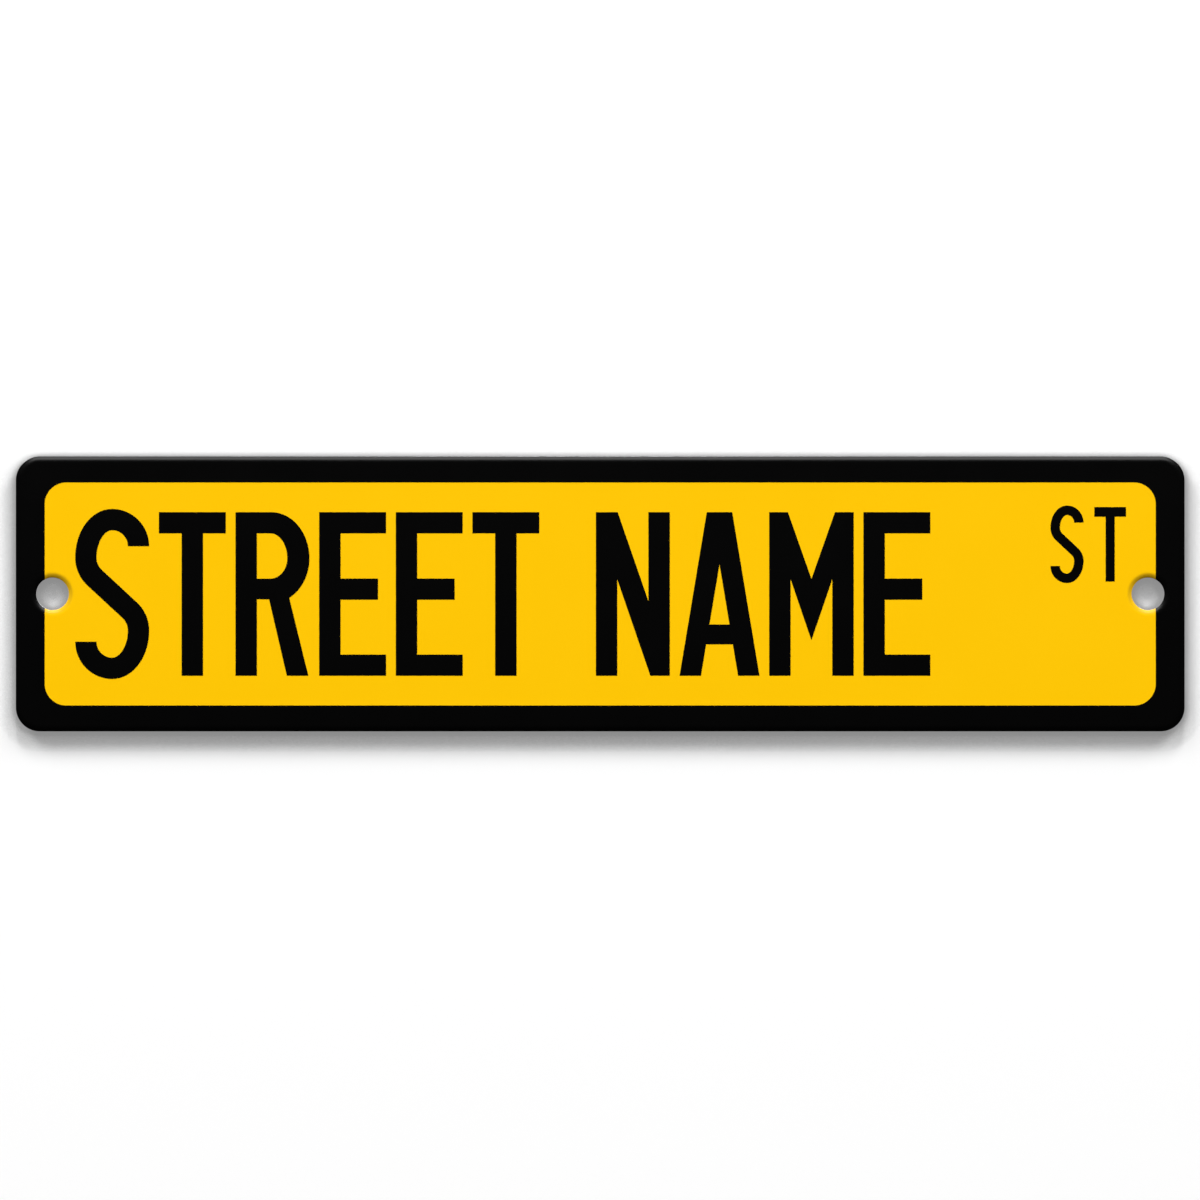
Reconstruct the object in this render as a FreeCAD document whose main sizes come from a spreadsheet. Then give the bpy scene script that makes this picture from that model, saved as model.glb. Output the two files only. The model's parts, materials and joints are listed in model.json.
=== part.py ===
import FreeCAD, Part

import math
import os

import Sketcher

# A flat name plate for a street: one sheet of aluminium, blanked with rounded corners and
# pierced near each end for a screw. The press draws the face down into a roll along the
# outline and round both holes, leaves a straight land under the roll, and tears the last of
# the wall away with a slight taper to the back.
# The plate stands upright with its face towards -Y and its back on the plane y = 0. X runs
# along the name, Z is up, and the origin is the middle of the back, halfway between the holes.

# Name of the size, its value in millimetres, and what it measures
SIZES = (
    ("plate_length", 431.8, "outline, end to end"),
    ("plate_height", 101.6, "outline, bottom to top"),
    ("sheet_gauge", 1.6, "thickness of the sheet"),
    ("corner_radius", 8.9, "rounding of the outline"),
    ("hole_diameter", 12.0, "screw hole, at its straight land"),
    ("hole_inset", 13.55, "end of the plate to the middle of a hole"),
    ("roll_width", 2.2, "how far from a cut edge the face starts to fall"),
    ("roll_depth", 0.5, "how far the face has fallen where the straight land begins"),
    ("nose_radius", 0.15, "rounding between the roll and the straight land"),
    ("break_depth", 0.45, "height of the torn wall, from the back"),
    ("break_draft", 0.1, "how far the torn wall leans away from the cut"),
)

# A cutter reaches past the sheet by the sheet's own gauge
OVERRUN = "sizes.sheet_gauge"

NODE = "sign_plate"
OUT_FOLDER = "parts"

# How a sketch numbers the points of a curve, and its own origin and axes
START, END, CENTRE = range(1, 4)
SKETCH_ORIGIN = (-1, START)
SKETCH_X_AXIS = -1
SKETCH_Y_AXIS = -2


def write_sizes(doc):
    """The sheet of driving sizes, one row each, with the size's name as its alias."""
    sheet = doc.addObject("Spreadsheet::Sheet", "sizes")
    for row, (name, value, meaning) in enumerate(SIZES, start=1):
        sheet.set(f"A{row}", name)
        sheet.set(f"B{row}", str(value))
        sheet.set(f"C{row}", meaning)
        sheet.setAlias(f"B{row}", name)
    doc.recompute()
    return sheet


def origin_plane(body, role):
    """One of the three planes of the body's own origin."""
    return next(feature for feature in body.Origin.OriginFeatures if feature.Role == role)


def new_sketch(body, name, plane_role):
    sketch = body.newObject("Sketcher::SketchObject", name)
    sketch.AttachmentSupport = [(origin_plane(body, plane_role), "")]
    sketch.MapMode = "FlatFace"
    sketch.Visibility = False
    return sketch


def constrain(sketch, kind, *places):
    sketch.addConstraint(Sketcher.Constraint(kind, *places))


def dimension(sketch, name, formula, kind, *places):
    """A constraint with a name and a size, which follows a formula on the sheet of sizes."""
    size = sketch.evalExpression(formula)
    number = sketch.addConstraint(Sketcher.Constraint(kind, *places, size))
    sketch.renameConstraint(number, name)
    sketch.setExpression(f"Constraints.{name}", formula)


def flat(x, y):
    """A point in a sketch's own plane."""
    return FreeCAD.Vector(x, y, 0)


def add_arc(sketch, middle, radius, start_angle, end_angle):
    circle = Part.Circle(flat(*middle), FreeCAD.Vector(0, 0, 1), radius)
    return sketch.addGeometry(Part.ArcOfCircle(circle, start_angle, end_angle))


def add_line(sketch, begin, finish):
    return sketch.addGeometry(Part.LineSegment(flat(*begin), flat(*finish)))


def draw_outline(body, sheet):
    """The plate's outline on the plane of its back: four sides and four equal corners."""
    sketch = new_sketch(body, "Outline", "XZ_Plane")
    radius = sheet.corner_radius
    end, edge = sheet.plate_length / 2, sheet.plate_height / 2
    in_x, in_z = end - radius, edge - radius

    # Anticlockwise from the top: the ends of a side, and the middle of the corner after it
    stretches = (
        ((in_x, edge), (-in_x, edge), (-in_x, in_z)),
        ((-end, in_z), (-end, -in_z), (-in_x, -in_z)),
        ((-in_x, -edge), (in_x, -edge), (in_x, -in_z)),
        ((end, -in_z), (end, in_z), (in_x, in_z)),
    )
    quarter = math.pi / 2
    sides = []
    corners = []
    for turn, (begin, finish, middle) in enumerate(stretches, start=1):
        sides.append(add_line(sketch, begin, finish))
        corners.append(add_arc(sketch, middle, radius, turn * quarter, (turn + 1) * quarter))
    top, left, bottom, right = sides

    for side, corner, next_side in zip(sides, corners, sides[1:] + sides[:1]):
        constrain(sketch, "Tangent", side, END, corner, START)
        constrain(sketch, "Tangent", corner, END, next_side, START)
    for side in (top, bottom):
        constrain(sketch, "Horizontal", side)
    for side in (left, right):
        constrain(sketch, "Vertical", side)
    for corner in corners[1:]:
        constrain(sketch, "Equal", corners[0], corner)
    constrain(sketch, "Symmetric", corners[0], CENTRE, corners[2], CENTRE, *SKETCH_ORIGIN)
    dimension(sketch, "rounding", "sizes.corner_radius", "Radius", corners[0])
    dimension(sketch, "long_way", "sizes.plate_length", "DistanceX", left, START, right, START)
    dimension(sketch, "high_way", "sizes.plate_height", "DistanceY", bottom, START, top, START)
    return sketch


def draw_cut(body, sheet, name, far_side, reach):
    """The section, level with the origin, that a cut takes from the sheet. The metal that is
    left lies towards the middle of the plate. Both formulas are sizes along X: far_side says
    where the section ends, and reach how far that is from the wall that the cut leaves."""
    sketch = new_sketch(body, name, "XY_Plane")
    sketch.setExpression("AttachmentOffset.Base.x", far_side)

    wall = -sketch.evalExpression(reach)
    face = -sheet.sheet_gauge
    depth, nose = sheet.roll_depth, sheet.nose_radius
    run = sheet.roll_width - nose
    roll_radius = (run**2 + depth**2 - nose**2) / (2 * (depth - nose))
    nose_middle = (wall - nose, face + depth)
    roll_middle = (nose_middle[0] - run, face + roll_radius)
    joint = math.atan2(depth - roll_radius, run)
    roll = add_arc(sketch, roll_middle, roll_radius, -math.pi / 2, joint)
    bend = add_arc(sketch, nose_middle, nose, joint, 0)

    # From the land back past the sheet, across, forward past the face and back to the roll
    back = wall - sheet.break_draft
    start_of_roll = wall - sheet.roll_width
    overrun = sketch.evalExpression(OVERRUN)
    behind, in_front = overrun, face - overrun
    corners = (
        (wall, face + depth),
        (wall, -sheet.break_depth),
        (back, 0),
        (back, behind),
        (0, behind),
        (0, in_front),
        (start_of_roll, in_front),
        (start_of_roll, face),
    )
    lines = [add_line(sketch, *ends) for ends in zip(corners, corners[1:])]
    land, tear, past_back, across, far, forward, to_face = lines

    for line, next_line in zip(lines, lines[1:]):
        constrain(sketch, "Coincident", line, END, next_line, START)
    for line in (land, past_back, far, to_face):
        constrain(sketch, "Vertical", line)
    for line in (across, forward):
        constrain(sketch, "Horizontal", line)
    constrain(sketch, "Perpendicular", to_face, END, roll, START)
    constrain(sketch, "Tangent", roll, END, bend, START)
    constrain(sketch, "Tangent", bend, END, land, START)
    constrain(sketch, "PointOnObject", far, START, SKETCH_Y_AXIS)
    constrain(sketch, "PointOnObject", tear, END, SKETCH_X_AXIS)

    dimension(sketch, "reach", reach, "DistanceX", land, START, far, START)
    dimension(sketch, "gauge", "sizes.sheet_gauge", "DistanceY", to_face, END, *SKETCH_ORIGIN)
    dimension(sketch, "roll_width", "sizes.roll_width", "DistanceX", to_face, END, land, START)
    dimension(sketch, "roll_depth", "sizes.roll_depth", "DistanceY", to_face, END, land, START)
    dimension(sketch, "nose", "sizes.nose_radius", "Radius", bend)
    dimension(sketch, "break_depth", "sizes.break_depth", "DistanceY", tear, START, tear, END)
    dimension(sketch, "break_draft", "sizes.break_draft", "DistanceX", tear, END, tear, START)
    for overrun_name, line in (("over_back", past_back), ("over_face", to_face)):
        dimension(sketch, overrun_name, OVERRUN, "DistanceY", line, START, line, END)
    return sketch


def pad_blank(body, outline):
    """The flat blank, from the plane of its back towards -Y."""
    blank = body.newObject("PartDesign::Pad", "Blank")
    blank.Profile = outline
    blank.setExpression("Length", "sizes.sheet_gauge")
    return blank


def roll_rim(body, sheet, outline):
    """Carries the cut's section round the outline, which gives the rim its roll and its tear."""
    rim = body.newObject("PartDesign::SubtractivePipe", "Rim")
    far_side = f"sizes.plate_length / 2 + {OVERRUN}"
    rim.Profile = draw_cut(body, sheet, "RimSection", far_side, OVERRUN)
    rim.Spine = outline
    return rim


def pierce_hole(body, sheet):
    """Turns the same section about the axis of the hole at the right-hand end."""
    hole = body.newObject("PartDesign::Groove", "Hole")
    axis_place = "sizes.plate_length / 2 - sizes.hole_inset"
    hole.Profile = draw_cut(body, sheet, "HoleSection", axis_place, "sizes.hole_diameter / 2")
    hole.ReferenceAxis = (hole.Profile[0], ["V_Axis"])
    hole.Angle = 360
    return hole


def mirror_hole(body, hole):
    """The same hole at the left-hand end."""
    mirrored = body.newObject("PartDesign::Mirrored", "OtherHole")
    mirrored.Originals = [hole]
    mirrored.MirrorPlane = (origin_plane(body, "YZ_Plane"), [""])
    body.Tip = mirrored
    return mirrored


def check_model(doc, body, cuts):
    """Stops before anything is written if a feature failed or a cut took nothing away."""
    for item in doc.Objects:
        if "Invalid" in item.State or "Error" in item.State:
            raise ValueError(f"{item.Label} failed: {item.State}")
    for cut in cuts:
        if cut.Shape.Volume >= cut.BaseFeature.Shape.Volume:
            raise ValueError(f"{cut.Label} takes nothing away")
    shape = body.Shape
    if shape.isNull() or not shape.isValid() or len(shape.Solids) != 1:
        raise ValueError(f"{body.Label} is not one valid solid")


def build():
    doc = FreeCAD.newDocument("street_name_sign")
    sheet = write_sizes(doc)
    plate = doc.addObject("PartDesign::Body", NODE)
    plate.Label = NODE
    plate.Placement = FreeCAD.Placement()

    outline = draw_outline(plate, sheet)
    pad_blank(plate, outline)
    rim = roll_rim(plate, sheet, outline)
    hole = pierce_hole(plate, sheet)
    other_hole = mirror_hole(plate, hole)
    doc.recompute()

    check_model(doc, plate, (rim, hole, other_hole))
    os.makedirs(OUT_FOLDER, exist_ok=True)
    plate.Shape.exportStep(f"{OUT_FOLDER}/{plate.Label}.step")
    print(f"{plate.Label}: {plate.Shape.Volume:.1f} mm3, {len(plate.Shape.Faces)} faces")


build()
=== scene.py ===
import collections
import json
import math

import bpy
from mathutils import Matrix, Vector


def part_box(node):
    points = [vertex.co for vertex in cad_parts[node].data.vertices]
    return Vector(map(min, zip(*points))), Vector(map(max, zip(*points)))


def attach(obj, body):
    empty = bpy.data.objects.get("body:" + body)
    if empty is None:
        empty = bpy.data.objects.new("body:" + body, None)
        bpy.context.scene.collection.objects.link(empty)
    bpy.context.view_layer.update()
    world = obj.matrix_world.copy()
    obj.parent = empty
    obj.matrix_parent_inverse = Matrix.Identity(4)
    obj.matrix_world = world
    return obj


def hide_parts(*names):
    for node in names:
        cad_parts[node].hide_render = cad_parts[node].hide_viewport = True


# A street name sign: a sheet of aluminium with rolled edges and two screw holes, its yellow and
# black ink, and the room that it hangs in. In metres. The face looks along -Y, the back is y = 0

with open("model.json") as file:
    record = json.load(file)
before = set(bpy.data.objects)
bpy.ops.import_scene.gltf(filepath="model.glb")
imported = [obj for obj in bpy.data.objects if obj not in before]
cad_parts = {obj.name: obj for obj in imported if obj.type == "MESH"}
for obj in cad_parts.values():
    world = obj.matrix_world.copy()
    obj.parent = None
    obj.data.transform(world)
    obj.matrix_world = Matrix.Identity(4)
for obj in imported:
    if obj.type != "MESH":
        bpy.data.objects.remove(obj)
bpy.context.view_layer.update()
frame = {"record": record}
plateLow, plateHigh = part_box("sign_plate")
mounts = {mount["name"]: mount["dims"] for mount in frame["record"]["mounts"]}
screwHoles = mounts["screw_holes"]
mm = 0.001
upright = (math.pi / 2, 0, 0)  # turns what is drawn flat so that it faces forward, along -Y
squareOn = 0.99  # at least this much of a normal is Y on a face that looks straight along it
levelGap = 0.01 * mm  # edges within this of a level lie on it
mergeGap = 0.001 * mm  # points within this of each other are one
smoothAngle = math.radians(40)  # faces that meet at less are shaded as one surface
print("frame: loaded")


# hand tools for the meshes

def pickUp(piece):
    bpy.ops.object.select_all(action="DESELECT")
    piece.select_set(True)
    bpy.context.view_layer.objects.active = piece


def deselectAll(mesh):
    for parts in (mesh.vertices, mesh.edges, mesh.polygons):
        parts.foreach_set("select", [False] * len(parts))


def editFaces(piece, wanted):  # edit mode, with just the wanted faces selected
    pickUp(piece)
    deselectAll(piece.data)
    for face in piece.data.polygons:
        face.select = wanted(face)
    bpy.context.tool_settings.mesh_select_mode = (False, False, True)
    bpy.ops.object.mode_set(mode="EDIT")


def editOpenEdges(piece, y):  # edit mode, with the edges selected that bound an opening at y
    pickUp(piece)
    mesh = piece.data
    deselectAll(mesh)
    uses = collections.Counter(key for face in mesh.polygons for key in face.edge_keys)
    for edge in mesh.edges:
        isLevel = abs(mesh.vertices[edge.vertices[0]].co.y - y) < levelGap
        edge.select = isLevel and uses[edge.key] == 1
    bpy.context.tool_settings.mesh_select_mode = (False, True, False)
    bpy.ops.object.mode_set(mode="EDIT")


def editAll(piece):
    pickUp(piece)
    bpy.context.tool_settings.mesh_select_mode = (True, False, False)
    bpy.ops.object.mode_set(mode="EDIT")
    bpy.ops.mesh.select_all(action="SELECT")


def leaveEdit():
    bpy.ops.object.mode_set(mode="OBJECT")


def facesForward(face):
    return face.normal.y < -squareOn


def facesBack(face):
    return face.normal.y > squareOn


def tidyMesh(piece):
    editAll(piece)
    bpy.ops.mesh.remove_doubles(threshold=mergeGap)
    bpy.ops.mesh.normals_make_consistent(inside=False)
    leaveEdit()


def useModifier(piece, kind, **settings):
    pickUp(piece)
    modifier = piece.modifiers.new(kind.lower(), kind)
    for name, value in settings.items():
        setattr(modifier, name, value)
    bpy.ops.object.modifier_apply(modifier=modifier.name)


def smoothShading(piece):
    pickUp(piece)
    bpy.ops.object.shade_smooth_by_angle(angle=smoothAngle)


def copyFaces(piece, wanted, name):
    editFaces(piece, wanted)
    bpy.ops.mesh.duplicate()
    bpy.ops.mesh.separate(type="SELECTED")
    leaveEdit()
    copy = next(thing for thing in bpy.context.selected_objects if thing is not piece)
    copy.name = copy.data.name = name
    return copy


def layPlane(name, width, height, location, rotation=(0, 0, 0)):
    bpy.ops.object.select_all(action="DESELECT")
    bpy.ops.mesh.primitive_plane_add(size=1, location=location, rotation=rotation)
    plane = bpy.context.object
    plane.name = plane.data.name = name
    plane.scale = (width, height, 1)
    bpy.ops.object.transform_apply()
    return plane


def roundedPlate(name, width, height, radius, steps, y):  # one flat face that looks forward
    piece = layPlane(name, width, height, (0, y, 0), upright)
    editAll(piece)
    bpy.ops.mesh.bevel(affect="VERTICES", offset=radius, segments=steps, profile=0.5)
    leaveEdit()
    return piece


def thicken(piece, depth):  # draws the whole of a flat piece out along Y
    editAll(piece)
    bpy.ops.mesh.extrude_region_move(TRANSFORM_OT_translate={"value": (0, depth, 0)})
    leaveEdit()
    tidyMesh(piece)


def finishPiece(piece, slot, *materials):
    for material in materials:
        piece.data.materials.append(material)
    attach(piece, "root")


# hand tools for the materials

class Signal:  # one output of a material's nodes; sums on it add their own nodes
    def __init__(self, tree, socket):
        self.tree, self.socket = tree, socket

    def calc(self, operation, first, second):
        return addNode(self.tree, "ShaderNodeMath", {"operation": operation}, {0: first, 1: second})

    def __add__(self, other):
        return self.calc("ADD", self, other)

    def __sub__(self, other):
        return self.calc("SUBTRACT", self, other)

    def __rsub__(self, other):
        return self.calc("SUBTRACT", other, self)

    def __mul__(self, other):
        return self.calc("MULTIPLY", self, other)

    __radd__ = __add__
    __rmul__ = __mul__


def addNode(tree, kind, settings=None, sockets=None, output=0):
    node = tree.nodes.new(kind)
    for name, value in (settings or {}).items():
        setattr(node, name, value)
    for name, value in (sockets or {}).items():
        if isinstance(value, Signal):
            tree.links.new(value.socket, node.inputs[name])
        else:
            node.inputs[name].default_value = value
    return Signal(tree, node.outputs[output]) if node.outputs else None


def newMaterial(name):
    material = bpy.data.materials.new(name)
    material.use_nodes = True
    material.node_tree.nodes.clear()
    return material, material.node_tree


def place(tree, stretch=(1, 1, 1)):
    spot = addNode(tree, "ShaderNodeTexCoord", output="Object")
    return addNode(tree, "ShaderNodeMapping", sockets={"Vector": spot, "Scale": stretch})


def partOf(tree, vector, axis):
    return addNode(tree, "ShaderNodeSeparateXYZ", sockets={"Vector": vector}, output=axis)


def ofRay(tree, kind):  # what is known of the ray that asks
    return addNode(tree, "ShaderNodeLightPath", output=kind)


def speckle(tree, size, stretch=(1, 1, 1), detail=2.0):  # noise from 0 to 1, its grain in metres
    return addNode(
        tree, "ShaderNodeTexNoise", sockets={
            "Vector": place(tree, stretch), "Scale": 1 / size, "Detail": detail, "Roughness": 0.5,
        },
    )


def spread(tree, signal, fromLow, fromHigh, low, high):
    return addNode(
        tree, "ShaderNodeMapRange", {"clamp": True},
        {"Value": signal, "From Min": fromLow, "From Max": fromHigh, "To Min": low, "To Max": high},
    )


def blendColours(tree, factor, first, second):  # either colour may be a signal
    factorSocket, colourA, colourB, colourOut = 0, 6, 7, 2  # a Mix node's sockets for colours
    first, second = (
        colour if isinstance(colour, Signal) else (*colour, 1) for colour in (first, second)
    )
    return addNode(
        tree, "ShaderNodeMix", {"data_type": "RGBA"},
        {factorSocket: factor, colourA: first, colourB: second}, colourOut,
    )


def relief(tree, height, depth):
    return addNode(
        tree, "ShaderNodeBump", sockets={"Height": height, "Distance": depth, "Strength": 1.0}
    )


def connectShader(tree, shader):
    addNode(tree, "ShaderNodeOutputMaterial", sockets={"Surface": shader})


# finishes of the sign

noiseMiddle = 0.5
noiseSpan = (0.3, 0.7)  # where nearly all of a noise lies


def inkFinish(name, finish, face):  # nearly even from its level face on; down the roll it fades to a roll colour, which on the yellow is painted shade
    material, tree = newMaterial(name)
    mottle = speckle(tree, finish["mottleSize"], detail=4.0)
    skin = speckle(tree, finish["skinSize"], detail=2.0)
    level = blendColours(tree, mottle, finish["thin"], finish["full"])
    depth = partOf(tree, place(tree), "Y")
    # where the face rolls over: the mask for the roll colour, which on the yellow is painted shade
    rollShade = spread(tree, depth, face, face + finish["rollShadeDepth"], 0, 1)
    connectShader(tree, addNode(
        tree, "ShaderNodeBsdfPrincipled", sockets={
            "Base Color": blendColours(tree, rollShade, level, finish["rollShade"]),
            "Roughness": spread(tree, mottle, *noiseSpan, *finish["roughness"]),
            "Specular IOR Level": finish["specular"],
            "Normal": relief(tree, skin, finish["skinDepth"]),
        },
    ))
    return material


bothInks = {
    "rollShadeDepth": 0.08 * mm,  # how far the face has fallen where the ink has its full roll colour, painted shade on the yellow
    "roughness": (0.20, 0.22),
    "specular": 0.50,
    "skinSize": 1.1 * mm,
    "skinDepth": 0.0012 * mm,
}
yellowFinish = {
    **bothInks,
    "thin": (0.985, 0.555, 0.0006),
    "full": (1.0, 0.572, 0.0004),
    # darker than the ink, with a little blue: painted shade that holds back the lamps' brightening
    # of the rims, and a painted whitish highlight
    "rollShade": (0.76, 0.433, 0.005),
    "mottleSize": 30 * mm,
}
blackFinish = {
    **bothInks,
    "thin": (0.0006, 0.0006, 0.0006),
    "full": (0.0002, 0.0002, 0.0002),
    "rollShade": (0.0008, 0.0008, 0.0008),
    "mottleSize": 24 * mm,
}
aluminiumFinish = {
    "dull": (0.66, 0.665, 0.68),
    "bright": (0.84, 0.845, 0.85),
    "roughness": (0.30, 0.46),
    "grainWidth": 0.28 * mm,
    "grainStretch": (0.012, 1, 1),  # the sheet was rolled along its length
    "grainDepth": 0.006 * mm,
    "grainShare": 0.65,  # of the tone; the rest is the bloom's
    "bloomSize": 60 * mm,
    "bloomStretch": (0.5, 1, 1),
    "bloomSpan": (0.35, 0.65),
    "toneSpan": (0.36, 0.64),
}
edgeFinish = {
    # the cut's tones: partly the burnished and torn wall's own greys, partly painted shade that
    # holds back the lamps on the edge
    "dull": (0.34, 0.34, 0.35),
    "bright": (0.68, 0.68, 0.69),
    "roughness": (0.28, 0.62),
    "streakWidth": 0.22 * mm,
    "streakStretch": (1, 0.04, 1),  # the punch drags its marks through the gauge
    "streakDepth": 0.012 * mm,
    "crumbSize": 0.16 * mm,
    "crumbDepth": 0.05 * mm,
    "crumbShare": 0.8,  # how light the crumbs are beside the streaks
    "waverSize": 2.5 * mm,
    "waverStretch": (1, 0, 1),  # the same all the way through the gauge
    "waverDepth": 0.5 * mm,  # how far the line between burnish and tear wanders
    "tearFade": (-0.12 * mm, 0.05 * mm),  # from in front of that line to behind it
}


def millFinish():  # rolled sheet, as it comes from the mill
    look = aluminiumFinish
    material, tree = newMaterial("mill_finish_aluminium")
    grain = speckle(tree, look["grainWidth"], look["grainStretch"], detail=4.0)
    bloom = speckle(tree, look["bloomSize"], look["bloomStretch"], detail=3.0)
    mixed = grain * look["grainShare"] + bloom * (1 - look["grainShare"])
    tone = spread(tree, mixed, *look["toneSpan"], 0, 1)
    connectShader(tree, addNode(
        tree, "ShaderNodeBsdfPrincipled", sockets={
            "Base Color": blendColours(tree, tone, look["dull"], look["bright"]),
            "Metallic": 1.0,
            "Roughness": spread(tree, bloom, *look["bloomSpan"], *look["roughness"]),
            "Normal": relief(tree, grain, look["grainDepth"]),
        },
    ))
    return material


def cutFinish(tearLine):  # sheared wall: burnished by the punch as far as a line, then torn
    look = edgeFinish
    material, tree = newMaterial("cut_aluminium")
    waver = speckle(tree, look["waverSize"], look["waverStretch"], detail=3.0)
    depth = partOf(tree, place(tree), "Y") + (waver - noiseMiddle) * look["waverDepth"]
    fadeFrom, fadeTo = look["tearFade"]
    torn = spread(tree, depth, tearLine + fadeFrom, tearLine + fadeTo, 0, 1)
    streaks = speckle(tree, look["streakWidth"], look["streakStretch"], detail=3.0)
    crumbs = speckle(tree, look["crumbSize"], detail=4.0)
    height = streaks * (1 - torn) * (look["streakDepth"] / look["crumbDepth"]) + crumbs * torn
    marks = streaks * (1 - torn) + crumbs * torn * look["crumbShare"]
    tone = spread(tree, marks, *noiseSpan, 0, 1)
    connectShader(tree, addNode(
        tree, "ShaderNodeBsdfPrincipled", sockets={
            # its tones run darker than the sheet's metal, partly as painted shade
            "Base Color": blendColours(tree, tone, look["dull"], look["bright"]),
            "Metallic": 1.0,
            "Roughness": spread(tree, torn, 0, 1, *look["roughness"]),
            "Normal": relief(tree, height, look["crumbDepth"]),
        },
    ))
    return material


# the sheet: blanked, pierced, and rolled over where the press cut it

sheet = {
    "length": plateHigh.x - plateLow.x,
    "height": plateHigh.z - plateLow.z,
    "gauge": plateHigh.y - plateLow.y,  # with the print on it
    "holeX": screwHoles["spacing_x_mm"] * mm / 2,
    "holeRadius": screwHoles["hole_r_mm"] * mm,
    "cornerRadius": 8.9 * mm,
    "cornerSteps": 24,
    "holeSteps": 96,
    "rollWidth": 2.2 * mm,
    "rollDepth": 0.5 * mm,
    "rollSteps": 12,
    "noseRadius": 0.15 * mm,
    "noseSteps": 6,
    "breakDepth": 0.45 * mm,
    "breakDraft": 0.1 * mm,
    "breakSteps": 3,
    "flatMargin": 0.25 * mm,  # narrow level ring that keeps the shading of the flat even
    "wallNormal": 0.5,  # a cut wall's normal has less of Y than this
    "wallRise": 0.1 * mm,  # how far the bare cut wall runs up the nose
}
ink = {
    "yellow": 0.04 * mm,
    "black": 0.03 * mm,
    "bite": 0.01 * mm,  # how far each coat keys into what is under it
    "reach": -0.72,  # the print ends on the nose, where a face's normal has this much of Y
}
ink["both"] = ink["yellow"] + ink["black"]
wallFront = -sheet["gauge"] + ink["both"] + sheet["rollDepth"]  # where the straight wall starts
wallBack = -sheet["breakDepth"]  # and where it ends


def levelRing(points):  # ends a profile with a narrow level ring
    inward, outward = points[-1]
    return points + [(inward + sheet["flatMargin"], outward)]


def rollProfile():  # (inward, forward) steps from the front of the straight wall to the flat
    depth, nose = sheet["rollDepth"], sheet["noseRadius"]
    run = sheet["rollWidth"] - nose
    radius = (run**2 + depth**2 - nose**2) / (2 * (depth - nose))
    joint = math.atan2(radius - depth, run)
    points = []
    for step in range(sheet["noseSteps"] + 1):
        turn = joint * step / sheet["noseSteps"]
        points.append((nose * (1 - math.cos(turn)), nose * math.sin(turn)))
    for step in range(1, sheet["rollSteps"] + 1):
        turn = joint + (math.pi / 2 - joint) * step / sheet["rollSteps"]
        inward = sheet["rollWidth"] - radius * math.cos(turn)
        points.append((inward, depth - radius * (1 - math.sin(turn))))
    return levelRing(points)


def tearProfile():  # (inward, backward) steps from the back of the straight wall to the back
    steps = [step / sheet["breakSteps"] for step in range(sheet["breakSteps"] + 1)]
    points = [(sheet["breakDraft"] * step, sheet["breakDepth"] * step) for step in steps]
    return levelRing(points)


def insetAlong(points, outward):  # walks the selected flat face in from its rim, and opens it
    for (inA, outA), (inB, outB) in zip(points, points[1:]):
        bpy.ops.mesh.inset(thickness=inB - inA, depth=0, use_even_offset=True)
        bpy.ops.transform.translate(value=(0, outward * (outB - outA), 0))
    bpy.ops.mesh.delete(type="ONLY_FACE")


def pierce(x, section):  # draws the wall of a hole ring by ring, from the face to the back
    radius, y = section[0]
    bpy.ops.mesh.select_all(action="DESELECT")
    bpy.ops.mesh.primitive_circle_add(
        vertices=sheet["holeSteps"], radius=radius, location=(x, y, 0), rotation=upright
    )
    for nextRadius, nextY in section[1:]:
        bpy.ops.mesh.extrude_edges_move(TRANSFORM_OT_translate={"value": (0, nextY - y, 0)})
        bpy.ops.transform.resize(
            value=(nextRadius / radius, 1, nextRadius / radius), center_override=(x, nextY, 0)
        )
        radius, y = nextRadius, nextY


def makeBlank(front, back):  # the straight wall, then its roll in front and its tear behind
    piece = roundedPlate(
        "aluminium_sheet", sheet["length"], sheet["height"], sheet["cornerRadius"],
        sheet["cornerSteps"], wallBack,
    )
    thicken(piece, wallFront - wallBack)
    for isCap, profile, outward in ((facesForward, front, -1), (facesBack, back, 1)):
        editFaces(piece, isCap)
        insetAlong(profile, outward)
        leaveEdit()
    return piece


def makeHoles(piece, front, back):  # their walls, and then the flats that they pierce
    hole = sheet["holeRadius"]
    section = [(hole + inward, wallFront - outward) for inward, outward in reversed(front)]
    section += [(hole + inward, wallBack + outward) for inward, outward in back]
    editAll(piece)
    for side in (-1, 1):
        pierce(side * sheet["holeX"], section)
    leaveEdit()
    for y in (section[0][1], section[-1][1]):
        editOpenEdges(piece, y)
        bpy.ops.mesh.fill(use_beauty=True)
        leaveEdit()
    tidyMesh(piece)


def showCut(piece):  # gives the bare cut walls their own finish, the second on the piece
    for face in piece.data.polygons:
        isUpright = abs(face.normal.y) < sheet["wallNormal"]
        isBare = face.center.y > wallFront - sheet["wallRise"]
        face.material_index = 1 if isUpright and isBare else 0


def makeSheet():
    front, back = rollProfile(), tearProfile()
    piece = makeBlank(front, back)
    makeHoles(piece, front, back)
    smoothShading(piece)
    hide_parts("sign_plate")
    finishPiece(piece, "bare_aluminium", millFinish(), cutFinish(wallBack))
    showCut(piece)
    return piece


aluminiumSheet = makeSheet()
print("sheet: blanked, pierced and rolled")


# the print: a yellow panel and a thicker black border round it, and black letters

border = {
    "panelWidth": 410.36 * mm,  # its cut passes clear of the rims' own points
    "panelHeight": 82.4 * mm,
    "panelCorner": 8.0 * mm,
    "panelSteps": 24,
}


def makePanel():  # a prism through the sheet that parts the yellow from the black
    panel = roundedPlate(
        "panel", border["panelWidth"], border["panelHeight"], border["panelCorner"],
        border["panelSteps"], 0,
    )
    thicken(panel, -2 * sheet["gauge"])
    return panel


def isPrinted(face):
    return face.normal.y < ink["reach"]


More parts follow.
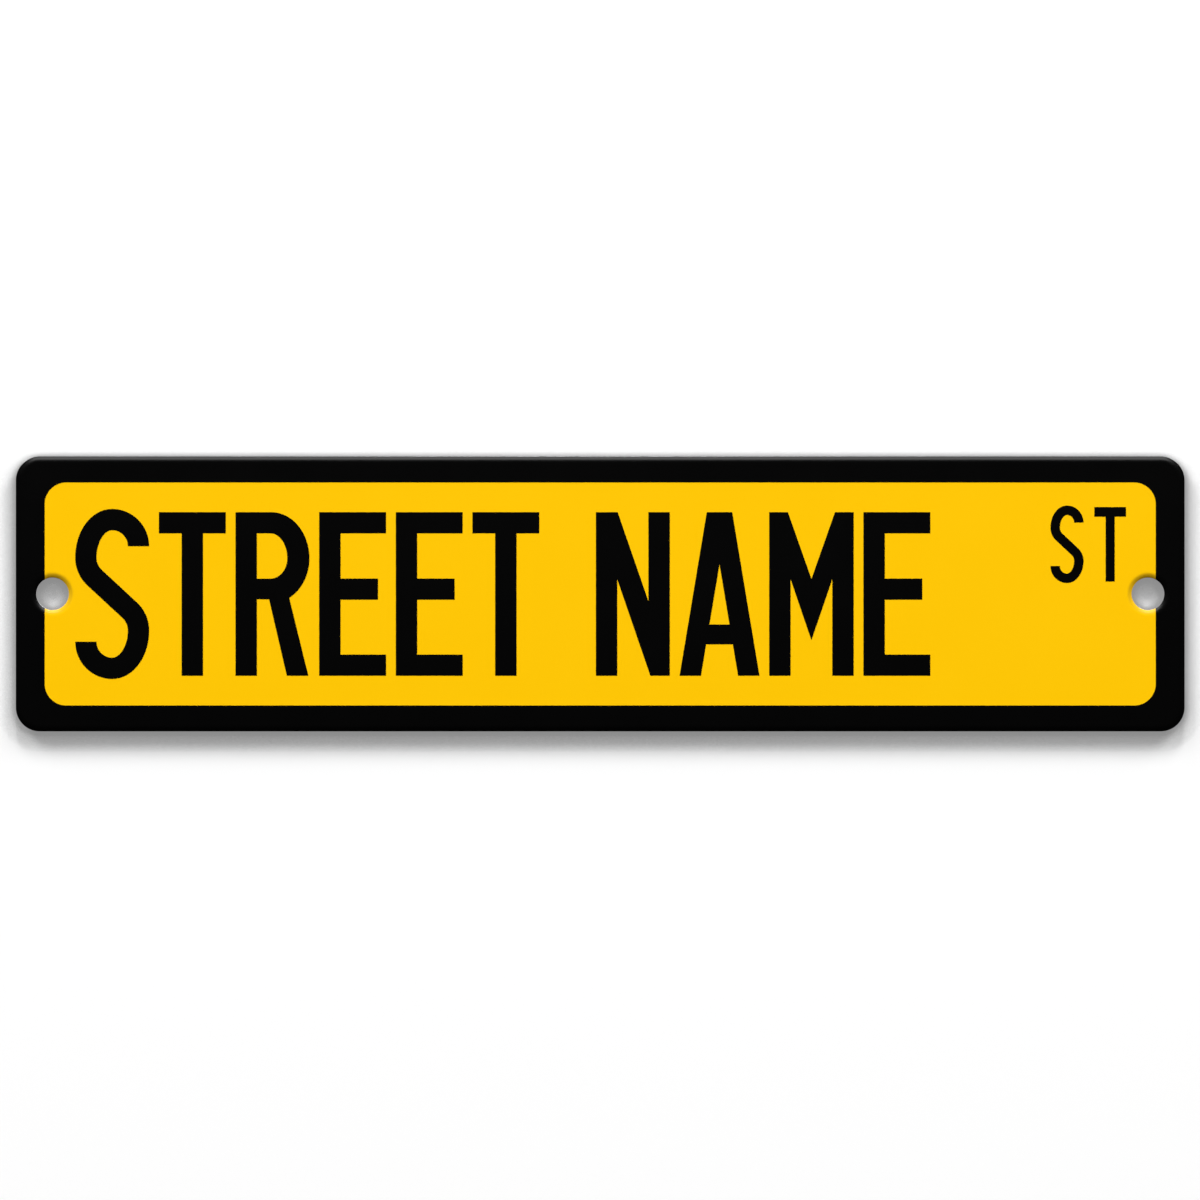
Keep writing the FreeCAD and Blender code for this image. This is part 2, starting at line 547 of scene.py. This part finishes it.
def layCoat(name, thickness, side, slot, material):  # ink on the sheet's printed faces
    piece = copyFaces(aluminiumSheet, isPrinted, name)
    coat = thickness + ink["bite"]
    outwards = 2 * thickness / coat - 1  # from -1, all of it inside the sheet, to 1, all outside
    useModifier(piece, "SOLIDIFY", thickness=coat, offset=outwards, use_even_offset=True)
    tidyMesh(piece)
    panel = makePanel()
    useModifier(piece, "BOOLEAN", object=panel, operation=side, solver="EXACT")
    bpy.data.objects.remove(panel)
    tidyMesh(piece)
    smoothShading(piece)
    piece.data.materials.clear()
    finishPiece(piece, slot, material)


yellowInk = inkFinish("yellow_ink", yellowFinish, ink["black"] - sheet["gauge"])
blackInk = inkFinish("black_ink", blackFinish, -sheet["gauge"])
layCoat("yellow_ground", ink["yellow"], "INTERSECT", "yellow_print", yellowInk)
layCoat("black_border", ink["both"], "DIFFERENCE", "black_print", blackInk)
print("print: ground and border")


# the letters: narrow road-sign capitals. Each function gives a letter's width and its outlines

nameStyle = {
    "cap": 60.4 * mm,
    "stem": 7.9 * mm,  # upright strokes
    "bar": 7.8 * mm,  # level strokes
    "overshoot": 1.2 * mm,  # how far a round letter passes the others
    "round": 27.3 * mm,  # width of N, R and S
    "square": 24.7 * mm,  # width of E and T
    "gap": 3.6 * mm,
    "wordGap": 20.9 * mm,
    "left": -193.9 * mm,
    "foot": -30.2 * mm,
}
suffixStyle = {
    "cap": 27.5 * mm,
    "stem": 3.36 * mm,
    "bar": 3.55 * mm,
    "overshoot": 0.55 * mm,
    "round": 12.2 * mm,
    "square": 11.7 * mm,
    "gap": 4.0 * mm,
    "left": 166.3 * mm,
    "foot": 4.6 * mm,
}
arcSteps = 16


def arc(x, z, radiusX, radiusZ, start, end):
    points = []
    for step in range(arcSteps + 1):
        turn = math.radians(start + (end - start) * step / arcSteps)
        points.append((x + radiusX * math.cos(turn), z + radiusZ * math.sin(turn)))
    return points


def letterT(style):
    width, cap = style["square"], style["cap"]
    left, right = (width - style["stem"]) / 2, (width + style["stem"]) / 2
    under = cap - style["bar"]
    return width, [[
        (0, cap), (width, cap), (width, under), (right, under),
        (right, 0), (left, 0), (left, under), (0, under),
    ]]


def letterE(style):
    width, cap, stem, bar = style["square"], style["cap"], style["stem"], style["bar"]
    tongue = 0.88 * width  # length of the middle bar
    low = 0.465 * cap
    high = low + bar
    return width, [[
        (0, 0), (0, cap), (width, cap), (width, cap - bar), (stem, cap - bar), (stem, high),
        (tongue, high), (tongue, low), (stem, low), (stem, bar), (width, bar), (width, 0),
    ]]


def letterN(style):
    width, cap, stem = style["round"], style["cap"], style["stem"]
    right = width - stem
    slopeHead, slopeFoot = 1.02 * stem, width - 0.91 * stem
    rightCrotch, leftCrotch = 0.456 * cap, 0.589 * cap  # where the slope's edges meet the stems
    return width, [[
        (0, 0), (0, cap), (slopeHead, cap), (right, rightCrotch), (right, cap), (width, cap),
        (width, 0), (slopeFoot, 0), (stem, leftCrotch), (stem, 0),
    ]]


def letterM(style):
    width, cap, stem = 1.143 * style["round"], style["cap"], style["stem"]
    middle, right = width / 2, width - stem
    shoulder = 0.876 * stem
    valley, point = 0.592 * cap, 0.217 * cap  # upper and lower edge where the slopes meet
    crotch = 0.59 * cap  # where a slope's lower edge meets its stem
    return width, [[
        (0, 0), (0, cap), (shoulder, cap), (middle, valley), (width - shoulder, cap),
        (width, cap), (width, 0), (right, 0), (right, crotch), (middle, point),
        (stem, crotch), (stem, 0),
    ]]


def letterA(style):
    width, cap, leg = 1.081 * style["round"], style["cap"], style["stem"]
    crown = 1.19 * leg
    lean = (width - crown) / 2 / cap  # how far a leg leans for each bit of height
    low, high = 0.192 * cap, 0.313 * cap  # the crossbar's edges
    peak = (width / 2 - leg) / lean

    def inLeft(z):
        return lean * z + leg

    outside = [
        (0, 0), (lean * cap, cap), (width - lean * cap, cap), (width, 0), (width - leg, 0),
        (width - inLeft(low), low), (inLeft(low), low), (leg, 0),
    ]
    counter = [(inLeft(high), high), (width - inLeft(high), high), (width / 2, peak)]
    return width, [outside, counter]


def letterR(style):
    width, cap, stem, bar = style["round"], style["cap"], style["stem"], style["bar"]
    bowlX, bowlZ = 0.486 * width, 0.718 * cap  # where its round end starts, and is widest
    bowlDrop = 0.2737 * cap
    counterX, counterEnd = 0.470 * width, 0.7005 * width
    counterHigh, counterLow = 0.871 * cap, 0.5934 * cap
    waist = counterLow - 0.975 * bar
    legTop, legLeft, legRight = 0.454 * width, 0.694 * width, 0.986 * width
    legMeets = math.degrees(math.asin(0.884))  # that much of the way down the bowl's drop
    outside = [(0, 0), (0, cap)]
    outside += arc(bowlX, bowlZ, width - bowlX, cap - bowlZ, 90, 0)
    outside += arc(bowlX, bowlZ, width - bowlX, bowlDrop, 0, -legMeets)[1:]
    outside += [(legRight, 0), (legLeft, 0), (legTop, waist), (stem, waist), (stem, 0)]
    counter = [(stem, counterHigh)]
    counter += arc(counterX, bowlZ, counterEnd - counterX, counterHigh - bowlZ, 90, 0)
    counter += arc(counterX, bowlZ, counterEnd - counterX, bowlZ - counterLow, 0, -90)[1:]
    counter += [(stem, counterLow)]
    return width, [outside, counter]


def letterS(style):
    width, cap = style["round"], style["cap"]
    stroke = (style["stem"] + style["bar"]) / 2
    reach = (width - stroke) / 2
    middle, centre = width / 2, cap / 2
    top = cap + style["overshoot"] - stroke / 2
    tip, shoulder = 0.792 * cap, 0.7226 * cap  # heights of the stroke's end and its far side
    belly = 0.165 * cap
    leave = math.degrees(math.asin(belly / (shoulder - centre)))
    bends = [  # height of the bend's middle, its upright radius, and the turns it covers
        (tip, top - tip, 0, 90),
        (shoulder, top - shoulder, 90, 180),
        (shoulder, belly, 180, 180 + leave),
    ]
    spine = []  # middle of the stroke and its heading, from the upper tip to the centre
    for z, tall, start, end in bends:
        for step in range(arcSteps + 1):
            turn = math.radians(start + (end - start) * step / arcSteps)
            spot = Vector((middle + reach * math.cos(turn), z + tall * math.sin(turn)))
            heading = Vector((-reach * math.sin(turn), tall * math.cos(turn))).normalized()
            if step or not spine:
                spine.append((spot, heading))
    pivot = Vector((middle, centre))
    spine += [(2 * pivot - spot, heading) for spot, heading in reversed(spine)]
    half = stroke / 2
    inner = [spot + half * Vector((-heading.y, heading.x)) for spot, heading in spine]
    outer = [spot - half * Vector((-heading.y, heading.x)) for spot, heading in spine]
    return width, [[tuple(spot) for spot in inner + outer[::-1]]]


alphabet = {
    "A": letterA, "E": letterE, "M": letterM, "N": letterN, "R": letterR, "S": letterS,
    "T": letterT,
}


def drawLetters(drawing, words, style):
    x = style["left"]
    for mark in words:
        if mark == " ":
            x += style["wordGap"] - style["gap"]
            continue
        width, outlines = alphabet[mark](style)
        for outline in outlines:
            spline = drawing.splines.new("POLY")
            spline.points.add(len(outline) - 1)
            for point, (across, up) in zip(spline.points, outline):
                point.co = (x + across, style["foot"] + up, 0, 1)
            spline.use_cyclic_u = True
        x += width + style["gap"]


def makeLettering(name, words, style):
    drawing = bpy.data.curves.new(name, "CURVE")
    drawing.dimensions = "2D"
    drawing.fill_mode = "BOTH"
    coat = ink["black"] + ink["bite"]
    drawing.extrude = coat / 2
    drawLetters(drawing, words, style)
    piece = bpy.data.objects.new(name, drawing)
    bpy.context.collection.objects.link(piece)
    pickUp(piece)
    bpy.ops.object.convert(target="MESH")
    piece.rotation_euler = upright
    piece.location.y = -sheet["gauge"] + coat / 2
    bpy.ops.object.transform_apply()
    tidyMesh(piece)
    finishPiece(piece, "black_print", blackInk)


makeLettering("black_name", "STREET NAME", nameStyle)
makeLettering("black_suffix", "ST", suffixStyle)
print("print: letters")


# the room: a pale floor, lamps, and a white wall close behind the sign that takes its shadow and
# painted shade

white = (1, 1, 1, 1)
room = {
    "wallGap": 1.25 * mm,  # from the back of the sign
    "wallSize": 1.2,
    "wallLight": (0.742, 0.742, 0.742),  # under the open sky
    "wallPaintedShade": (0.120, 0.120, 0.120),  # painted shade, where the sign is close in front of it
    "wallSky": 0.791,  # share of the sky that is still open where the wall's painted shade is darkest
    "wallShadeReach": 8.0 * mm,  # how far off the sign still adds painted shade to the wall
    "wallSamples": 8,
    "wallTilt": 27,  # degrees; the light comes from above, so the sky is weighed from there
    "wallLift": 0.255,  # light that the camera sees in the wall's shadows
    "floorZ": -0.30,
    "floorSize": 8.0,
    "floorColour": (0.33, 0.33, 0.327, 1),
    "floorFade": (0.40, 1.20),  # metres out, as the camera sees the floor lifted towards white
    "floorLift": (0.08, 0.60),
    "ambient": 0.037,  # the sky, on what isn't a mirror
    "glossFront": 0.006,  # the sky in a mirror: dark in front of the sign
    "glossBehind": (0.45, 1.0),  # and behind the sign from dim, low down, to bright
    "heightSpan": (-0.6, 0.8),  # where a direction's Z counts as low, and as high
    "behindSpan": (-0.1, 0.5),  # where its Y counts as in front, and as behind
}
lamps = {  # degrees up and round from the face's middle, metres away and across, and watts
    "top": {"up": 76.0, "round": 0, "distance": 9.0, "size": (0.6, 1.0), "watts": 677},
    "left": {"up": 49.6, "round": -68.2, "distance": 9.0, "size": (2.4, 3.3), "watts": 1052},
    "right": {"up": 49.6, "round": 68.2, "distance": 9.0, "size": (2.4, 3.3), "watts": 1052},
    "front": {"up": 32, "round": 0, "distance": 6.0, "size": (4.4, 2.4), "watts": 89},
    "back": {"up": 40, "round": 150, "distance": 3.0, "size": (2.0, 1.0), "watts": 40},
}


def stagePlane(plane, material):  # it throws no light and no shadow on the sign
    plane.data.materials.append(material)
    plane.visible_diffuse = plane.visible_glossy = False
    plane.visible_shadow = False


def makeWall():
    size = room["wallSize"]
    wall = layPlane("wall", size, size, (0, room["wallGap"], 0), upright)
    material, tree = newMaterial("wall_white")
    tilt = math.radians(room["wallTilt"])
    upwards = addNode(
        tree, "ShaderNodeCombineXYZ", sockets={"Y": -math.cos(tilt), "Z": math.sin(tilt)}
    )
    # painted shade: the wall's colour darkens by ambient occlusion near the sign, beside the real
    # shadow that the lamps cast
    paintedShadeAO = addNode(
        tree, "ShaderNodeAmbientOcclusion", {"samples": room["wallSamples"]},
        {"Distance": room["wallShadeReach"], "Normal": upwards}, output="AO",
    )
    unshadedShare = spread(tree, paintedShadeAO, room["wallSky"], 1, 0, 1)
    colour = blendColours(tree, unshadedShare, room["wallPaintedShade"], room["wallLight"])
    paint = addNode(tree, "ShaderNodeBsdfDiffuse", sockets={"Color": colour})
    lift = addNode(
        tree, "ShaderNodeEmission", sockets={"Color": white, "Strength": room["wallLift"]}
    )
    shown = addNode(tree, "ShaderNodeAddShader", sockets={0: paint, 1: lift})
    clear = addNode(tree, "ShaderNodeBsdfTransparent")
    behind = addNode(tree, "ShaderNodeNewGeometry", output="Backfacing")
    connectShader(tree, addNode(
        tree, "ShaderNodeMixShader", sockets={0: behind, 1: shown, 2: clear}
    ))
    wall.visible_transmission = False
    stagePlane(wall, material)


def makeFloor():
    size = room["floorSize"]
    floor = layPlane("floor", size, size, (0, 0, room["floorZ"]))
    material, tree = newMaterial("floor_pale")
    paint = addNode(tree, "ShaderNodeBsdfDiffuse", sockets={"Color": room["floorColour"]})
    away = addNode(
        tree, "ShaderNodeVectorMath", {"operation": "LENGTH"}, {0: place(tree)}, output="Value"
    )
    fade = spread(tree, away, *room["floorFade"], *room["floorLift"])
    lift = addNode(
        tree, "ShaderNodeEmission",
        sockets={"Color": white, "Strength": ofRay(tree, "Is Camera Ray") * fade},
    )
    connectShader(tree, addNode(tree, "ShaderNodeAddShader", sockets={0: paint, 1: lift}))
    stagePlane(floor, material)


def makeWorld():  # white to the camera, dim as light, and shaded where the metal and ink mirror it
    world = bpy.data.worlds.new("studio")
    world.use_nodes = True
    world.cycles.sampling_method = "NONE"
    tree = world.node_tree
    tree.nodes.clear()
    direction = addNode(tree, "ShaderNodeTexCoord", output="Generated")
    dome = spread(tree, partOf(tree, direction, "Z"), *room["heightSpan"], *room["glossBehind"])
    behind = spread(tree, partOf(tree, direction, "Y"), *room["behindSpan"], 0, 1)
    shown = dome * behind + room["glossFront"] * (1 - behind)
    camera = ofRay(tree, "Is Camera Ray")
    unscattered = spread(tree, ofRay(tree, "Diffuse Depth"), 0, 1, 1, 0)
    mirrored = (ofRay(tree, "Is Glossy Ray") + ofRay(tree, "Is Transmission Ray")) * unscattered
    strength = camera + mirrored * shown + room["ambient"] * (1 - camera - mirrored)
    background = addNode(
        tree, "ShaderNodeBackground", sockets={"Color": white, "Strength": strength}
    )
    addNode(tree, "ShaderNodeOutputWorld", sockets={"Surface": background})
    bpy.context.scene.world = world


def hangLamp(name, lamp, target):
    up, turn = math.radians(lamp["up"]), math.radians(lamp["round"])
    way = Vector((math.cos(up) * math.sin(turn), -math.cos(up) * math.cos(turn), math.sin(up)))
    light = bpy.data.lights.new(name, "AREA")
    light.shape = "RECTANGLE"
    light.size, light.size_y = lamp["size"]
    light.energy = lamp["watts"]
    holder = bpy.data.objects.new(name, light)
    holder.location = target + way * lamp["distance"]
    holder.rotation_euler = (-way).to_track_quat("-Z", "Y").to_euler()
    holder.visible_camera = False
    bpy.context.collection.objects.link(holder)


makeWall()
makeFloor()
makeWorld()
faceMiddle = Vector((0, plateLow.y, 0))
for lampName, lampData in lamps.items():
    hangLamp(lampName, lampData, faceMiddle)
print("room: wall, floor and lamps")


# the camera: straight on, through a long lens

view = {
    "lens": 120,  # millimetres, as is the sensor's width
    "sensor": 36,
    "frameWidth": 443.2 * mm,  # what the picture's width covers at the face
    "offsetX": -0.085 * mm,  # of the picture's middle from the middle of the sign
    "offsetZ": -2.25 * mm,
}


def placeCamera():
    camera = bpy.data.cameras.new("camera")
    camera.lens = view["lens"]
    camera.sensor_width = view["sensor"]
    holder = bpy.data.objects.new("camera", camera)
    distance = view["frameWidth"] * view["lens"] / view["sensor"]
    holder.location = (view["offsetX"], plateLow.y - distance, view["offsetZ"])
    holder.rotation_euler = upright
    bpy.context.collection.objects.link(holder)
    bpy.context.scene.camera = holder


placeCamera()
bpy.context.scene.view_settings.view_transform = "Standard"
print("camera: placed")
